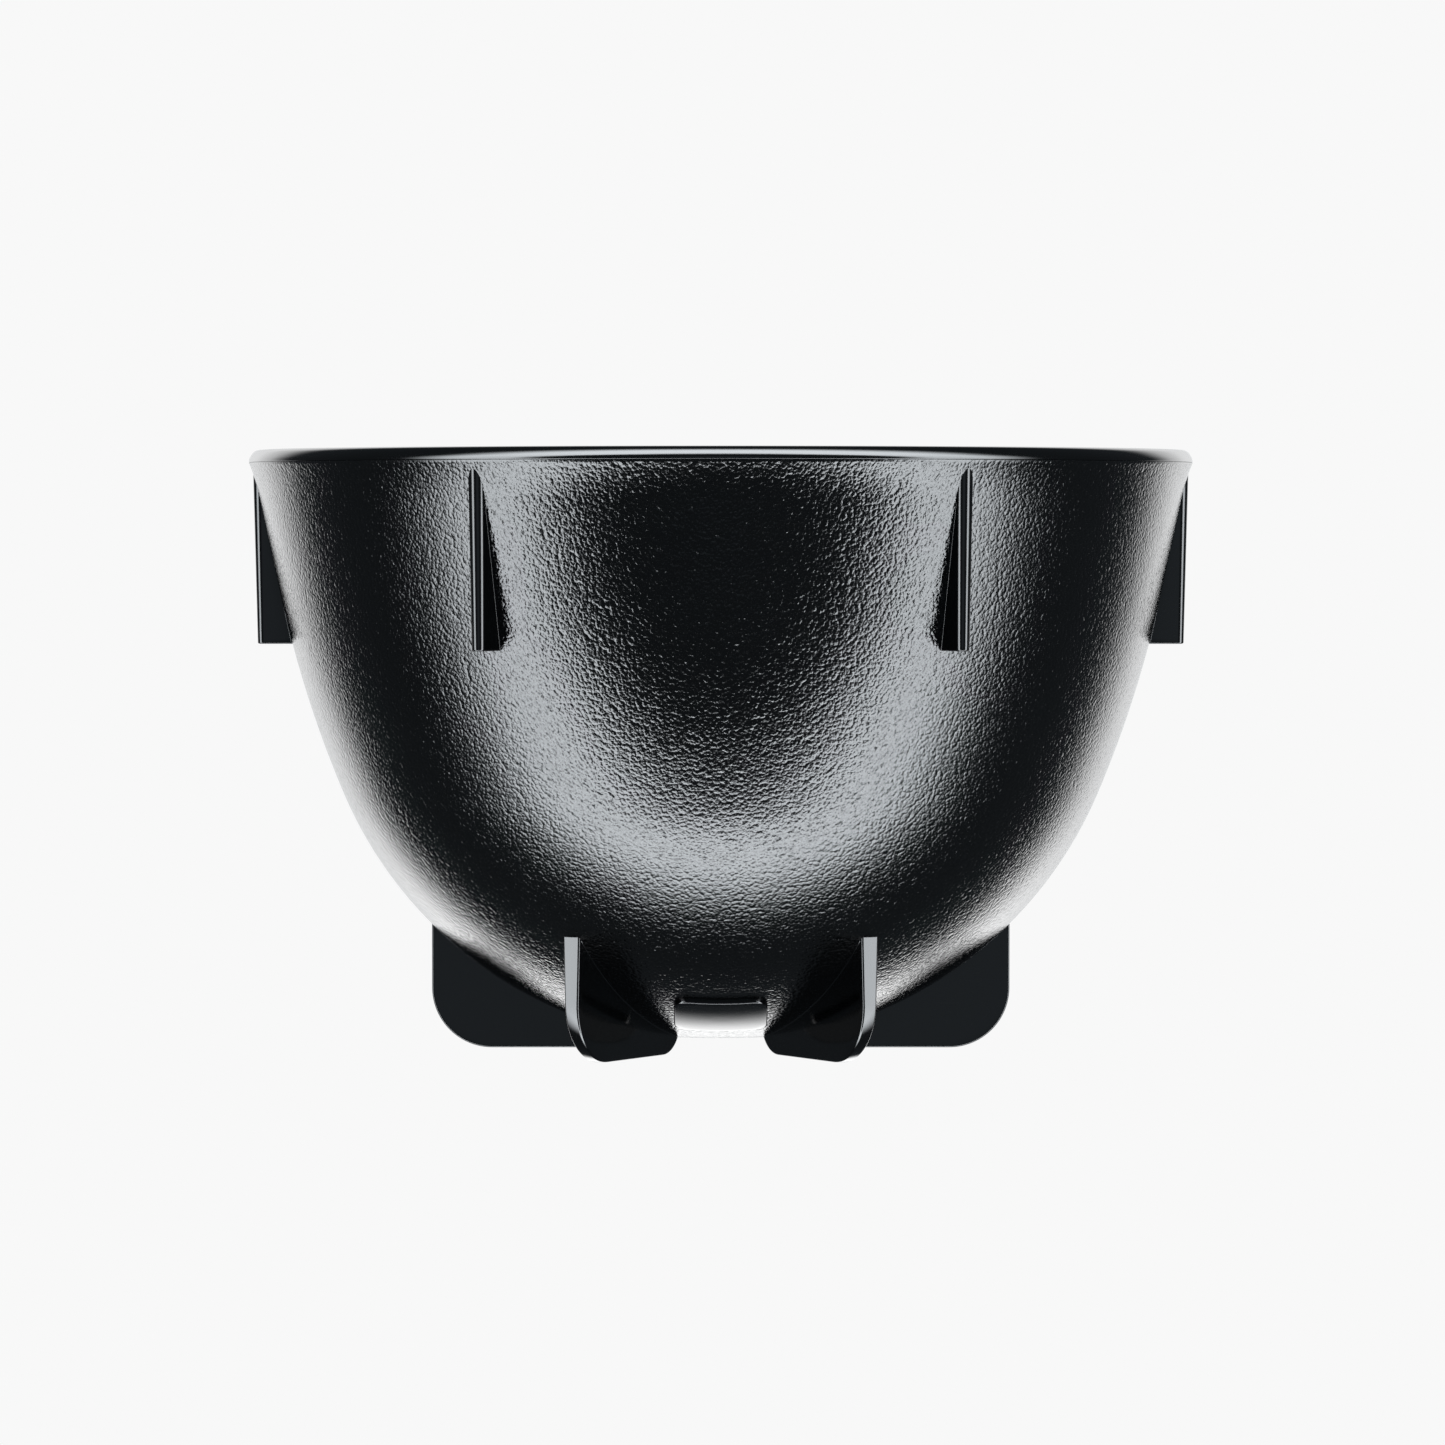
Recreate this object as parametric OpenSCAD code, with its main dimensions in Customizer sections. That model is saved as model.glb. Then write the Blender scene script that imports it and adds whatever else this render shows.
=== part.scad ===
// Hair colour mixing bowl: a deep round-bottomed bowl of black plastic.
// A polished rim band closes a grained wall. Upright ribs below the rim stop nested bowls
// from jamming, and radial fins under the round bottom are the feet.
// The frame: +Z up, origin on the bowl's axis in the plane of the feet's soles,
// and the raised mark faces -Y. All sizes are millimetres.

/* [Bowl] */
// Diameter across the rim's outer edge
rim_d = 130; // [108:1:156]
// Height from the soles of the feet to the top of the rim
bowl_h = 82.5; // [68.5:0.5:99]
// Thickness of the wall and the floor
wall = 2.2; // [1.6:0.05:2.8]
// Lean of the straight collar below the rim, off vertical
collar_lean = 13; // [10.5:0.5:16]
// Radius of the curve between the collar and the round bottom, seen in section
side_r = 150; // [120:5:180]
// Lean, off vertical, where that curve runs into the round bottom
knuckle_angle = 23; // [19:0.5:27.5]

/* [Rim] */
// Height of the polished band
rim_band_h = 1.75; // [1.4:0.05:2.1]
// How far the band's outer edge stands out past the collar
lip_reach = 0.3; // [0.2:0.05:0.5]
// Radius of the hollow curve that carries the collar out to the band
lip_flare_r = 5.5; // [4.5:0.5:7]
// Rounding of the band's inner edge
rim_inner_round = 0.35; // [0.2:0.05:0.4]

/* [Base] */
// Gap between the flat base and what the bowl stands on
base_gap = 2.2; // [1.8:0.1:2.7]
// Depth of the round bottom that the flat base cuts off
base_cut = 1.45; // [1.2:0.05:1.8]
// Diameter of the dimple around the moulding gate
gate_dimple_d = 7; // [5:0.5:9]
// Depth of that dimple
gate_dimple_depth = 0.5; // [0.3:0.1:0.8]
// Diameter of the stub that the gate leaves
gate_stub_d = 2; // [1.5:0.1:2.5]

/* [Stacking ribs] */
// Number of ribs
rib_count = 6; // [3:1:8]
// How far a nested bowl stands above the one below
stack_pitch = 26.7; // [22:0.1:32.1]
// Distance of a rib's outer face inside the rim's edge, at the top
rib_inset_top = 0.7; // [0.6:0.05:1]
// The same distance at the rib's sole
rib_inset_sole = 1.05; // [1:0.05:1.4]
// Thickness of a rib at the top
rib_t_top = 2.4; // [2:0.1:3]
// Thickness of a rib at its sole
rib_t_sole = 1.8; // [1.5:0.1:2.2]

/* [Feet] */
// Number of feet
foot_count = 6; // [3:1:8]
// Radius from the axis to a foot's outer edge
foot_r = 39.9; // [33:0.1:48]
// Rounding of a foot's outer corner
foot_corner_r = 8.3; // [6:0.1:10]
// Radius from the axis to a foot's inner end
foot_inner_r = 12.6; // [12:0.1:15]
// Rounding of a foot's inner corner
foot_inner_round = 4.3; // [3.5:0.1:5]
// Thickness of a foot where it leaves the bowl
foot_t_top = 2.6; // [2:0.1:3.2]
// Thickness of a foot at its sole
foot_t_sole = 1.7; // [1.4:0.1:2.1]

/* [Mark] */
// Width of the raised pad
pad_w = 12.6; // [11.6:0.2:13.4]
// Length of the raised pad
pad_l = 10.2; // [9:0.2:11]
// Radius of the circle that trims the pad's corners, as a share of their distance from its centre
pad_trim = 0.9; // [0.88:0.01:0.95]
// Height of the pad above the round bottom
pad_relief = 0.7; // [0.5:0.1:1]
// Distance of the pad's middle from the axis
mark_r = 24; // [22:0.5:27]

/* [Hidden] */
// Sides of the facets that draw each kind of curve
section_fn = 360;
turn_fn = 180;
small_fn = 48;

rim_r = rim_d / 2;
lip_z = bowl_h - rim_band_h;
collar_top_r = rim_r - lip_reach;

// The outer section is an arc, an arc and a straight line, each tangent to the next. The
// crown's centre is on the axis. The side's arc turns from the knuckle's lean to the
// collar's, and the crown's radius brings the line through [collar_top_r, lip_z].
crown_low_z = base_gap - base_cut;
side_rise = side_r * (sin(knuckle_angle) - sin(collar_lean));
side_run = side_r * (cos(collar_lean) - cos(knuckle_angle));
crown_r = (collar_top_r - side_run - (lip_z - crown_low_z - side_rise) * tan(collar_lean))
          / (cos(knuckle_angle) - (1 - sin(knuckle_angle)) * tan(collar_lean));
crown_z = crown_low_z + crown_r;
side_c = [(crown_r - side_r) * cos(knuckle_angle),
          crown_z + (side_r - crown_r) * sin(knuckle_angle)];

// The flare's arc touches the collar from outside and ends at the lip's edge.
lip_off_collar = lip_reach * cos(collar_lean);
flare_rise = sqrt(2 * lip_flare_r * lip_off_collar - pow(lip_off_collar, 2));
collar_normal = [cos(collar_lean), -sin(collar_lean)];
collar_up = [sin(collar_lean), cos(collar_lean)];
flare_c = [rim_r, lip_z] + (lip_flare_r - lip_off_collar) * collar_normal - flare_rise * collar_up;
flare_foot = flare_c - lip_flare_r * collar_normal;

// The flat inside floor, which is also the size of the base disc.
floor_z = base_gap + wall;
floor_r = sqrt(pow(crown_r - wall, 2) - pow(crown_z - floor_z, 2));

rib_sole_z = bowl_h - stack_pitch;
foot_root_z = crown_z - sqrt(pow(crown_r, 2) - pow(foot_r, 2)) + wall;

polished_black = [0.07, 0.075, 0.08];
grained_black = [0.11, 0.115, 0.12];

// Radius at height z of the collar's surface, moved inwards by inset.
function collar_section_r(z, inset) =
    collar_top_r - (lip_z - z) * tan(collar_lean) - inset / cos(collar_lean);

// Half the section of the bowl's body up to height top_z, moved inwards by inset.
module body_section(inset, top_z) {
    knuckle_z = crown_z - (crown_r - inset) * sin(knuckle_angle);
    collar_z = side_c[1] - (side_r - inset) * sin(collar_lean);
    intersection() {
        translate([0, crown_z]) circle(r = crown_r - inset, $fn = section_fn);
        translate([0, base_gap + inset]) square([rim_r, knuckle_z - base_gap - inset]);
    }
    intersection() {
        translate(side_c) circle(r = side_r - inset, $fn = section_fn * 3);
        translate([0, knuckle_z]) square([rim_r, collar_z - knuckle_z]);
    }
    polygon([[0, collar_z], [collar_section_r(collar_z, inset), collar_z],
             [collar_section_r(top_z, inset), top_z], [0, top_z]]);
}

// The small wedge that carries the collar out to the lip's edge.
module flare_section() {
    root_r = flare_foot[0] - wall / 2;
    difference() {
        polygon([[root_r, flare_foot[1]], flare_foot, [rim_r, lip_z], [root_r, lip_z]]);
        translate(flare_c) circle(r = lip_flare_r, $fn = section_fn);
    }
}

// Everything inside the bowl's outer surface below the rim band, as one solid.
module body_solid() {
    rotate_extrude($fn = turn_fn) {
        body_section(0, lip_z);
        flare_section();
    }
}

module bowl_wall() {
    color(grained_black)
    rotate_extrude($fn = turn_fn)
    difference() {
        union() {
            body_section(0, lip_z);
            flare_section();
        }
        body_section(wall, bowl_h);
        square([floor_r, floor_z + wall]);
    }
}

module rim_band() {
    inner_edge_r = collar_section_r(bowl_h - rim_inner_round, wall);
    color(polished_black)
    rotate_extrude($fn = turn_fn)
    difference() {
        union() {
            translate([0, lip_z]) square([rim_r - rim_band_h, rim_band_h]);
            intersection() {
                translate([rim_r - rim_band_h, lip_z]) circle(r = rim_band_h, $fn = section_fn);
                translate([0, lip_z]) square([rim_r, rim_band_h]);
            }
        }
        body_section(wall, bowl_h);
        difference() {
            translate([0, bowl_h - rim_inner_round])
                square([inner_edge_r + rim_inner_round, rim_inner_round * 2]);
            translate([inner_edge_r + rim_inner_round, bowl_h - rim_inner_round])
                circle(r = rim_inner_round, $fn = section_fn);
        }
    }
}

module base_disc() {
    color(polished_black)
    union() {
        difference() {
            translate([0, 0, base_gap]) cylinder(r = floor_r, h = wall, $fn = turn_fn);
            translate([0, 0, base_gap - gate_dimple_depth])
                cylinder(d = gate_dimple_d, h = gate_dimple_depth * 2, $fn = small_fn);
        }
        translate([0, 0, base_gap + gate_dimple_depth / 3])
            cylinder(d = gate_stub_d, h = gate_dimple_depth, $fn = small_fn);
    }
}

// A radial plate along +X. The child is its side view, in radius and height.
// Its thickness runs from t_low at height z_low to t_high at height z_high.
module tapered_plate(r_max, z_low, t_low, z_high, t_high) {
    intersection() {
        rotate([90, 0, 0])
            linear_extrude(height = 2 * max(t_low, t_high), center = true) children();
        rotate([90, 0, 90])
            linear_extrude(height = r_max)
            polygon([[-t_low / 2, z_low], [t_low / 2, z_low],
                     [t_high / 2, z_high], [-t_high / 2, z_high]]);
    }
}

module stacking_rib(i) {
    color(polished_black)
    rotate([0, 0, (i - 1) * 360 / rib_count])
    difference() {
        tapered_plate(rim_r, rib_sole_z, rib_t_sole, lip_z, rib_t_top)
            polygon([[0, rib_sole_z], [rim_r - rib_inset_sole, rib_sole_z],
                     [rim_r - rib_inset_top, lip_z], [0, lip_z]]);
        body_solid();
    }
}

// Side view of a foot: a flat sole between two rounded corners.
module foot_side() {
    difference() {
        translate([foot_inner_r, 0]) square([foot_r - foot_inner_r, foot_root_z]);
        difference() {
            translate([foot_r - foot_corner_r, 0]) square(foot_corner_r);
            translate([foot_r - foot_corner_r, foot_corner_r])
                circle(r = foot_corner_r, $fn = section_fn);
        }
        difference() {
            translate([foot_inner_r, 0]) square(foot_inner_round);
            translate([foot_inner_r + foot_inner_round, foot_inner_round])
                circle(r = foot_inner_round, $fn = section_fn);
        }
    }
}

module foot(i) {
    color(polished_black)
    rotate([0, 0, (i - 1) * 360 / foot_count])
    difference() {
        tapered_plate(foot_r, 0, foot_t_sole, foot_root_z, foot_t_top) foot_side();
        body_solid();
    }
}

// The pad's outline: a rectangle whose corners are trimmed by a circle about its middle.
module pad() {
    intersection() {
        square([pad_w, pad_l], center = true);
        circle(r = norm([pad_w, pad_l]) / 2 * pad_trim, $fn = turn_fn);
    }
}

module raised_mark() {
    tilt = asin(mark_r / crown_r);
    color(polished_black)
    difference() {
        intersection() {
            translate([0, 0, crown_z]) sphere(r = crown_r + pad_relief, $fn = turn_fn);
            translate([0, 0, crown_z])
                rotate([180 - tilt, 0, 0])
                translate([0, 0, crown_r - wall])
                linear_extrude(height = wall + pad_relief * 2)
                pad();
        }
        body_solid();
    }
}

bowl_wall();
rim_band();
base_disc();
raised_mark();
for (i = [1:rib_count])
    stacking_rib(i);
for (i = [1:foot_count])
    foot(i);
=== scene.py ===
"""Hair colour mixing bowl: its finished surfaces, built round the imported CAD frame.

The bowl is one moulding of black plastic. Each class below builds one region of it as its own
piece: the grained wall, the polished rim band, the base disc, the stacking ribs, the feet and the
raised mark. Sizes are metres in the frame's axes: +Z up, the bowl's axis on Z, the soles at 0, and
the raised mark facing -Y.
"""

import logging
import math
from dataclasses import dataclass, field
from enum import Enum

import bmesh
import bpy
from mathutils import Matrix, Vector

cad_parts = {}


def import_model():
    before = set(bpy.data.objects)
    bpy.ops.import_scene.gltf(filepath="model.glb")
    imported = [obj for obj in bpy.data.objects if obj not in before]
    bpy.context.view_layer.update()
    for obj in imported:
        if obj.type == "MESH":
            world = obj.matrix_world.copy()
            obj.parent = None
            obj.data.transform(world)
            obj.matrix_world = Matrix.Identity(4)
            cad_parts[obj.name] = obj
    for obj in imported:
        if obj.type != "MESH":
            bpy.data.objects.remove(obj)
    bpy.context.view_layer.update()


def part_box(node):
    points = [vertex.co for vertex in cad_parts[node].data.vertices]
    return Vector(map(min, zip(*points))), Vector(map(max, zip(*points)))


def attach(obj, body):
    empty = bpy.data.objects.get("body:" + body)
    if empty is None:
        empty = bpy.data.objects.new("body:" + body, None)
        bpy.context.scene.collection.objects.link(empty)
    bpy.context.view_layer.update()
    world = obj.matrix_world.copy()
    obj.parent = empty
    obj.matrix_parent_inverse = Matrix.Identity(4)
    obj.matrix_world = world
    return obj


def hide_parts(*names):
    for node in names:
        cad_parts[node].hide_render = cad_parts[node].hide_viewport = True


MM = 0.001
BODY = "root"
GRAIN_ATTRIBUTE = "grain"
HAIRLINES = (0.62, 0.72)
WORN_PATCHES = (0.45, 0.7)
NOISE_MIDDLE = 0.5
LOG = logging.getLogger("hair_colour_bowl")

Point = tuple[float, float]
Socket = bpy.types.NodeSocket


class Texture(Enum):
    """How a stretch of the wall's section was finished in the mould."""

    SMOOTH = 0.0
    GRAINED = 1.0


class Slot(Enum):
    """The record's material slots."""

    GRAINED = "grained_plastic"
    POLISHED = "polished_plastic"


# ---------------------------------------------------------------- node trees


class Sketch:
    """Adds and links nodes in one tree, so that a tree reads as a list of steps."""

    def __init__(self, tree: bpy.types.NodeTree) -> None:
        """Starts on an empty tree.

        Args:
            tree: the shader or geometry tree that the nodes go in.
        """
        self.tree = tree
        self.tree.nodes.clear()

    def add(self, kind: str, sockets: dict | None = None, **settings: object) -> bpy.types.Node:
        """Adds a node.

        Args:
            kind: the node's type name.
            sockets: values or sockets for its inputs, by name or by number.
            settings: the node's own properties.

        Returns:
            The new node.
        """
        node = self.tree.nodes.new(kind)
        for name, value in settings.items():
            setattr(node, name, value)
        for key, value in (sockets or {}).items():
            self.feed(node.inputs[key], value)
        return node

    def feed(self, target: Socket, value: object) -> None:
        """Links a socket to an input, or sets the input's own value."""
        if isinstance(value, bpy.types.NodeSocket):
            self.tree.links.new(value, target)
        else:
            target.default_value = value

    def math(self, operation: str, *values: object) -> Socket:
        """One Math node; returns its result."""
        return self.add("ShaderNodeMath", dict(enumerate(values)), operation=operation).outputs[0]

    def product(self, *values: object) -> Socket:
        """The product of two or more values."""
        result = values[0]
        for value in values[1:]:
            result = self.math("MULTIPLY", result, value)
        return result

    def total(self, *values: object) -> Socket:
        """The sum of two or more values."""
        result = values[0]
        for value in values[1:]:
            result = self.math("ADD", result, value)
        return result

    def step(self, value: object, low: float, high: float) -> Socket:
        """A smooth step from 0 at low to 1 at high, or down again where high is below low."""
        rising = high > low
        sockets = {
            "Value": value,
            "From Min": min(low, high),
            "From Max": max(low, high),
            "To Min": 0.0 if rising else 1.0,
            "To Max": 1.0 if rising else 0.0,
        }
        return self.add("ShaderNodeMapRange", sockets, interpolation_type="SMOOTHSTEP").outputs[0]

    def blend(self, share: object, low: object, high: object) -> Socket:
        """A value that goes from low to high as share goes from 0 to 1."""
        sockets = {"Value": share, "To Min": low, "To Max": high}
        return self.add("ShaderNodeMapRange", sockets).outputs[0]

    def noise(self, place: Socket, scale: object, detail: float) -> bpy.types.NodeOutputs:
        """A noise texture; returns its outputs."""
        sockets = {"Vector": place, "Scale": scale, "Detail": detail}
        return self.add("ShaderNodeTexNoise", sockets).outputs

    def scaled(self, vector: object, scale: Socket) -> Socket:
        """A vector times a number."""
        sockets = {0: vector, "Scale": scale}
        return self.add("ShaderNodeVectorMath", sockets, operation="SCALE").outputs[0]

    def tint(self, share: Socket, low: tuple, high: tuple) -> Socket:
        """A colour that goes from low to high as share goes from 0 to 1."""
        sockets = {"Factor": share, "A": (*low, 1.0), "B": (*high, 1.0)}
        mix = self.add("ShaderNodeMix", sockets, data_type="RGBA")
        return next(output for output in mix.outputs if output.type == "RGBA")

    def group(self, tree: bpy.types.NodeTree, sockets: dict) -> bpy.types.NodeOutputs:
        """One of the shared shader groups; returns its outputs."""
        return self.add("ShaderNodeGroup", sockets, node_tree=tree).outputs

    def dress(self, shape: Socket, finish: Socket) -> None:
        """Ends a geometry tree: the shape made real, in its material."""
        real = self.add("GeometryNodeRealizeInstances", {0: shape}).outputs[0]
        dressed = self.add("GeometryNodeSetMaterial", {"Geometry": real, "Material": finish})
        self.add("NodeGroupOutput", {0: dressed.outputs[0]})

    def plastic(self, colour: Socket, rough: Socket, relief: Socket, ior: float) -> None:
        """Ends a finish's tree: plastic with a relief, given as a height in metres."""
        bump = self.add("ShaderNodeBump", {"Strength": 1.0, "Distance": 1.0, "Height": relief})
        skin = self.add("ShaderNodeBsdfPrincipled", {
            "Base Color": colour, "Roughness": rough, "IOR": ior, "Normal": bump.outputs[0]})
        self.add("ShaderNodeOutputMaterial", {"Surface": skin.outputs[0]})


def new_group(name: str, kind: str, inputs: dict[str, tuple[str, object]],
              outputs: dict[str, str]) -> tuple[bpy.types.NodeTree, Sketch, bpy.types.NodeOutputs]:
    """Makes a node group with named sockets.

    Args:
        name: the group's name.
        kind: Geometry or Shader.
        inputs: for each input its socket type and its default, None where it has none.
        outputs: for each output its socket type.

    Returns:
        The group, the sketch that fills it and the inputs as sockets to link from.
    """
    tree = bpy.data.node_groups.new(name, kind + "NodeTree")
    for title, (sort, default) in inputs.items():
        socket = tree.interface.new_socket(title, in_out="INPUT", socket_type="NodeSocket" + sort)
        if default is not None:
            socket.default_value = default
    for title, sort in outputs.items():
        tree.interface.new_socket(title, in_out="OUTPUT", socket_type="NodeSocket" + sort)
    s = Sketch(tree)
    return tree, s, s.add("NodeGroupInput").outputs


# ---------------------------------------------------------------- meshes


def new_mesh(name: str, points: list, edges: list, faces: list) -> bpy.types.Mesh:
    """A mesh from its points, edges and faces."""
    mesh = bpy.data.meshes.new(name)
    mesh.from_pydata([tuple(p) for p in points], edges, faces)
    mesh.update()
    return mesh


def arc(centre: Point, radius: float, start: float, end: float, steps: int) -> list[Point]:
    """Points along an arc, both ends included.

    Args:
        centre: the arc's centre, in radius and height.
        radius: the arc's radius.
        start: the first angle, in degrees from the outward axis towards +Z.
        end: the last angle.
        steps: the number of chords.

    Returns:
        steps + 1 points.
    """
    angles = [math.radians(start + (end - start) * i / steps) for i in range(steps + 1)]
    return [(centre[0] + radius * math.cos(a), centre[1] + radius * math.sin(a)) for a in angles]


def line(start: Point, end: Point, steps: int) -> list[Point]:
    """Points along a straight line, both ends included."""
    shares = [i / steps for i in range(steps + 1)]
    return [(start[0] + (end[0] - start[0]) * s, start[1] + (end[1] - start[1]) * s) for s in shares]


def quarter(steps: int) -> list[Point]:
    """The sine and cosine at each step of a quarter turn, both ends included."""
    turns = [math.radians(90 * i / steps) for i in range(steps + 1)]
    return [(math.sin(turn), math.cos(turn)) for turn in turns]


def loft(name: str, rows: list[list[Vector]]) -> bpy.types.Mesh:
    """A closed skin over rows of points, each row a closed loop, with a cap on either end.

    Args:
        name: the mesh's name.
        rows: the loops, all with the same number of points.

    Returns:
        The mesh.
    """
    count = len(rows[0])
    points = [p for row in rows for p in row]
    faces = []
    for i in range(len(rows) - 1):
        for j in range(count):
            k = (j + 1) % count
            low, high = i * count, (i + 1) * count
            faces.append((low + j, low + k, high + k, high + j))
    faces.append(tuple(range(count)))
    faces.append(tuple(range((len(rows) - 1) * count, len(rows) * count)))
    return new_mesh(name, points, [], faces)


def close_up(mesh: bpy.types.Mesh, weld: float, crease: float) -> None:
    """Merges doubles, turns every face outwards and shades the mesh smooth up to its creases.

    Args:
        mesh: a closed shell.
        weld: points nearer than this become one.
        crease: the angle, in degrees, past which an edge stays sharp.
    """
    shell = bmesh.new()
    shell.from_mesh(mesh)
    bmesh.ops.remove_doubles(shell, verts=shell.verts, dist=weld)
    bmesh.ops.recalc_face_normals(shell, faces=shell.faces)
    for face in shell.faces:
        face.smooth = True
    shell.to_mesh(mesh)
    shell.free()
    mesh.set_sharp_from_angle(angle=math.radians(crease))


def grow(name: str, base: bpy.types.Mesh, tree: bpy.types.NodeTree,
         inputs: dict[str, object]) -> bpy.types.Object:
    """Runs a geometry tree on a mesh and keeps the result as a plain mesh.

    Args:
        name: the piece's name.
        base: the mesh that the tree starts from.
        tree: the geometry tree.
        inputs: a value for each of the tree's named inputs.

    Returns:
        The object, with no modifier left on it.
    """
    piece = bpy.data.objects.new(name, base)
    bpy.context.scene.collection.objects.link(piece)
    modifier = piece.modifiers.new(tree.name, "NODES")
    modifier.node_group = tree
    for item in tree.interface.items_tree:
        if item.item_type == "SOCKET" and item.in_out == "INPUT" and item.name in inputs:
            modifier[item.identifier] = inputs[item.name]
    depsgraph = bpy.context.evaluated_depsgraph_get()
    mesh = bpy.data.meshes.new_from_object(piece.evaluated_get(depsgraph), depsgraph=depsgraph)
    piece.modifiers.clear()
    piece.data = mesh
    mesh.name = name
    return piece


def settle(piece: bpy.types.Object, slot: Slot, *nodes: str) -> None:
    """Fixes a finished piece to the frame and reports it.

    Args:
        piece: the finished piece, at the origin.
        slot: not used.
        nodes: the CAD nodes that it stands for.
    """
    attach(piece, BODY)
    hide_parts(*nodes)
    LOG.info("%s: %d faces, for %s", piece.name, len(piece.data.polygons), ", ".join(nodes))


# ---------------------------------------------------------------- geometry trees


def revolve_tree() -> bpy.types.NodeTree:
    """Turns an outline, drawn in the XZ plane, once round the Z axis.

    Returns:
        A tree whose inputs are the outline, the number of stations round the turn, whether the
        outline is a loop, the distance that welds the seam and the material.
    """
    tree, s, given = new_group("revolve_outline", "Geometry", {
        "Outline": ("Geometry", None),
        "Stations": ("Int", 360),
        "Loop": ("Int", 1),
        "Weld": ("Float", 1e-6),
        "Finish": ("Material", None),
    }, {"Shell": "Geometry"})
    count = s.add("GeometryNodeAttributeDomainSize", {0: given["Outline"]}).outputs["Point Count"]
    rows = s.total(count, given["Loop"])
    columns = s.total(given["Stations"], 1)
    grid = s.add("GeometryNodeMeshGrid", {"Vertices X": columns, "Vertices Y": rows})
    index = s.add("GeometryNodeInputIndex").outputs[0]
    row = s.math("MODULO", s.math("MODULO", index, rows), count)
    column = s.math("FLOOR", s.math("DIVIDE", index, rows))
    turn = s.math("DIVIDE", s.product(column, math.tau), given["Stations"])
    place = s.add("GeometryNodeInputPosition").outputs[0]
    drawn = s.add("GeometryNodeSampleIndex", {"Geometry": given["Outline"], "Value": place,
                                              "Index": row}, data_type="FLOAT_VECTOR")
    point = s.add("ShaderNodeSeparateXYZ", {0: drawn.outputs[0]}).outputs
    x = s.product(point["X"], s.math("COSINE", turn))
    y = s.product(point["X"], s.math("SINE", turn))
    turned = s.add("ShaderNodeCombineXYZ", {"X": x, "Y": y, "Z": point["Z"]}).outputs[0]
    shell = s.add("GeometryNodeSetPosition", {"Geometry": grid.outputs["Mesh"], "Position": turned})
    mark = s.add("GeometryNodeInputNamedAttribute", {"Name": GRAIN_ATTRIBUTE}, data_type="FLOAT")
    grain = s.add("GeometryNodeSampleIndex", {"Geometry": given["Outline"],
                                              "Value": mark.outputs[0], "Index": row})
    kept = s.add("GeometryNodeStoreNamedAttribute",
                 {"Geometry": shell.outputs[0], "Name": GRAIN_ATTRIBUTE, "Value": grain.outputs[0]})
    welded = s.add("GeometryNodeMergeByDistance",
                   {"Geometry": kept.outputs[0], "Distance": given["Weld"]})
    s.dress(welded.outputs[0], given["Finish"])
    return tree


def station_tree() -> bpy.types.NodeTree:
    """Turns a fin, drawn along +X, to its station round the bowl.

    Returns:
        A tree whose inputs are the fin, its number, the number of fins and the material.
    """
    tree, s, given = new_group("fin_station", "Geometry", {
        "Fin": ("Geometry", None),
        "Number": ("Int", 0),
        "Count": ("Int", 6),
        "Finish": ("Material", None),
    }, {"Placed": "Geometry"})
    turn = s.math("DIVIDE", s.product(given["Number"], math.tau), given["Count"])
    spin = s.add("ShaderNodeCombineXYZ", {"Z": turn}).outputs[0]
    placed = s.add("GeometryNodeTransform", {"Geometry": given["Fin"], "Rotation": spin})
    s.dress(placed.outputs[0], given["Finish"])
    return tree


def wrap_tree() -> bpy.types.NodeTree:
    """Wraps a flat pad on the round bottom.

    The pad's X and Y are its place in the plane that touches the bottom, and its Z is how far
    each point stands off the bottom's surface.

    Returns:
        A tree whose inputs are the pad, the bottom's radius and centre height, the pad's tilt
        towards -Y and the material.
    """
    tree, s, given = new_group("wrap_on_bottom", "Geometry", {
        "Pad": ("Geometry", None),
        "Crown Radius": ("Float", 0.056),
        "Crown Centre": ("Float", 0.057),
        "Tilt": ("Float", 0.4),
        "Finish": ("Material", None),
    }, {"Wrapped": "Geometry"})
    place = s.add("GeometryNodeInputPosition").outputs[0]
    flat = s.add("ShaderNodeSeparateXYZ", {0: place}).outputs
    reach = s.total(given["Crown Radius"], flat["Z"])
    aside = s.total(s.product(flat["X"], flat["X"]), s.product(flat["Y"], flat["Y"]))
    depth = s.math("SQRT", s.math("SUBTRACT", s.product(reach, reach), aside))
    sine, cosine = s.math("SINE", given["Tilt"]), s.math("COSINE", given["Tilt"])
    down = s.math("SUBTRACT", s.product(depth, cosine), s.product(flat["Y"], sine))
    front = s.total(s.product(depth, sine), s.product(flat["Y"], cosine))
    wrapped = s.add("ShaderNodeCombineXYZ", {
        "X": flat["X"],
        "Y": s.product(front, -1),
        "Z": s.math("SUBTRACT", given["Crown Centre"], down),
    }).outputs[0]
    laid = s.add("GeometryNodeSetPosition", {"Geometry": given["Pad"], "Position": wrapped})
    s.dress(laid.outputs[0], given["Finish"])
    return tree


# ---------------------------------------------------------------- shader groups


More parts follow.
